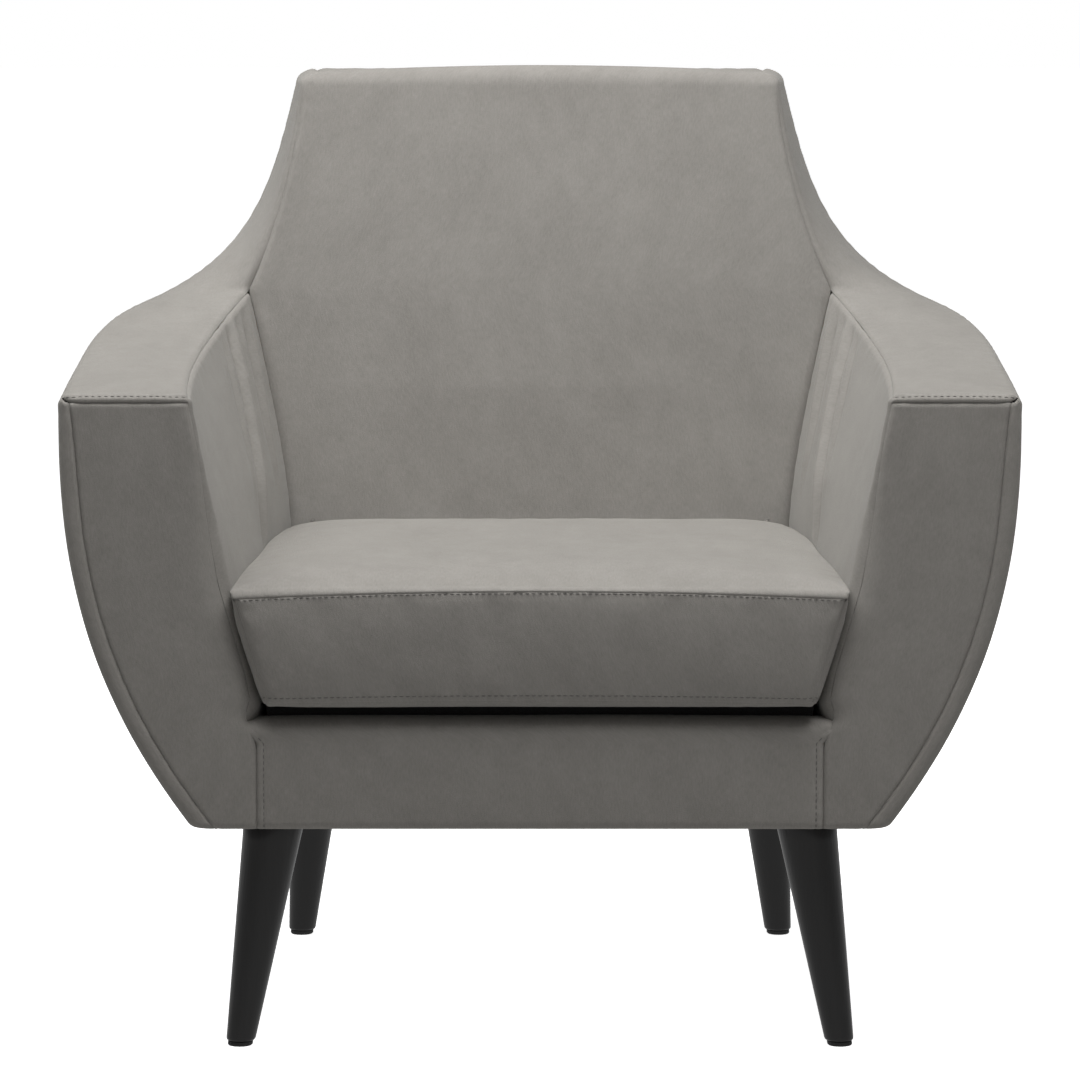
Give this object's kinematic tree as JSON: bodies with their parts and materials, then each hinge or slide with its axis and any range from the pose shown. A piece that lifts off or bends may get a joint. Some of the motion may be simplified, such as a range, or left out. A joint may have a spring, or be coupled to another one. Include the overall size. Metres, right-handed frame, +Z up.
{
  "type": "upholstered armchair",
  "caption": "Upholstered tub armchair with flared arms that sweep up into a leaning back, a loose zipped seat cushion and splayed tapered round legs.",
  "frame": {"origin": "on the floor, under the middle of the chair's box", "axes": "+Z up, -Y the way a sitter faces (the front), +X to the sitter's left hand"},
  "size_m": [0.875, 0.7597, 0.872],
  "materials": {
    "velour": "greige short-pile velour, soft mottled sheen",
    "plywood": "raw birch plywood, sawn",
    "frame_timber": "raw planed softwood",
    "spring_wire": "drawn spring steel, phosphated",
    "webbing": "woven elastic webbing",
    "deck_felt": "needled felt under a dark platform cloth",
    "dust_cloth": "black spunbonded cloth",
    "cushion_foam": "open-cell polyurethane foam",
    "zip_tape": "woven zip tape with nylon coils",
    "zip_metal": "plated die-cast zip slider",
    "leg_lacquer": "turned beech, satin black lacquer",
    "glide_plastic": "moulded nylon glide",
    "bolt_zinc": "zinc plated"
  },
  "bodies": {
    "chair": {"inside_back_pad": "velour", "outside_back_cover": "velour", "front_apron_cover": "velour", "arm_front_panel_left": "velour", "arm_front_panel_right": "velour", "outside_arm_cover_left": "velour", "outside_arm_cover_right": "velour", "arm_top_band_left": "velour", "arm_top_band_right": "velour", "inside_arm_pad_left": "velour", "inside_arm_pad_right": "velour", "front_rib_left": "plywood", "front_rib_right": "plywood", "middle_rib_left": "plywood", "middle_rib_right": "plywood", "rear_rib_left": "plywood", "rear_rib_right": "plywood", "wing_block_left": "plywood", "wing_block_right": "plywood", "arm_rail_left": "frame_timber", "arm_rail_right": "frame_timber", "back_post_left": "frame_timber", "back_post_right": "frame_timber", "seat_side_rail_left": "frame_timber", "seat_side_rail_right": "frame_timber", "seat_front_rail": "frame_timber", "seat_rear_rail": "frame_timber", "back_top_rail": "frame_timber", "back_lumbar_rail": "frame_timber", "front_corner_block_left": "frame_timber", "front_corner_block_right": "frame_timber", "rear_corner_block_left": "frame_timber", "rear_corner_block_right": "frame_timber", "seat_spring_1": "spring_wire", "seat_spring_2": "spring_wire", "seat_spring_3": "spring_wire", "seat_spring_4": "spring_wire", "back_webbing_1": "webbing", "back_webbing_2": "webbing", "back_webbing_3": "webbing", "seat_deck_pad": "deck_felt", "dust_cover": "dust_cloth", "front_leg_left": "leg_lacquer", "front_leg_right": "leg_lacquer", "rear_leg_left": "leg_lacquer", "rear_leg_right": "leg_lacquer", "front_foot_glide_left": "glide_plastic", "front_foot_glide_right": "glide_plastic", "rear_foot_glide_left": "glide_plastic", "rear_foot_glide_right": "glide_plastic", "front_hanger_bolt_left": "bolt_zinc", "front_hanger_bolt_right": "bolt_zinc", "rear_hanger_bolt_left": "bolt_zinc", "rear_hanger_bolt_right": "bolt_zinc"},
    "cushion": {"seat_cushion_cover": "velour", "seat_cushion_foam": "cushion_foam", "zip_chain": "zip_tape"},
    "zip_slider": {"zip_slider": "zip_metal"}
  },
  "joints": [
    {"name": "cushion_lift", "type": "slide", "parent": "chair", "child": "cushion", "axis": [0, 0, 1], "range_m": [0, 0.6]},
    {"name": "zip_slide", "type": "slide", "parent": "cushion", "child": "zip_slider", "axis": [1, 0, 0], "range_m": [-0.4, 0]}
  ]
}
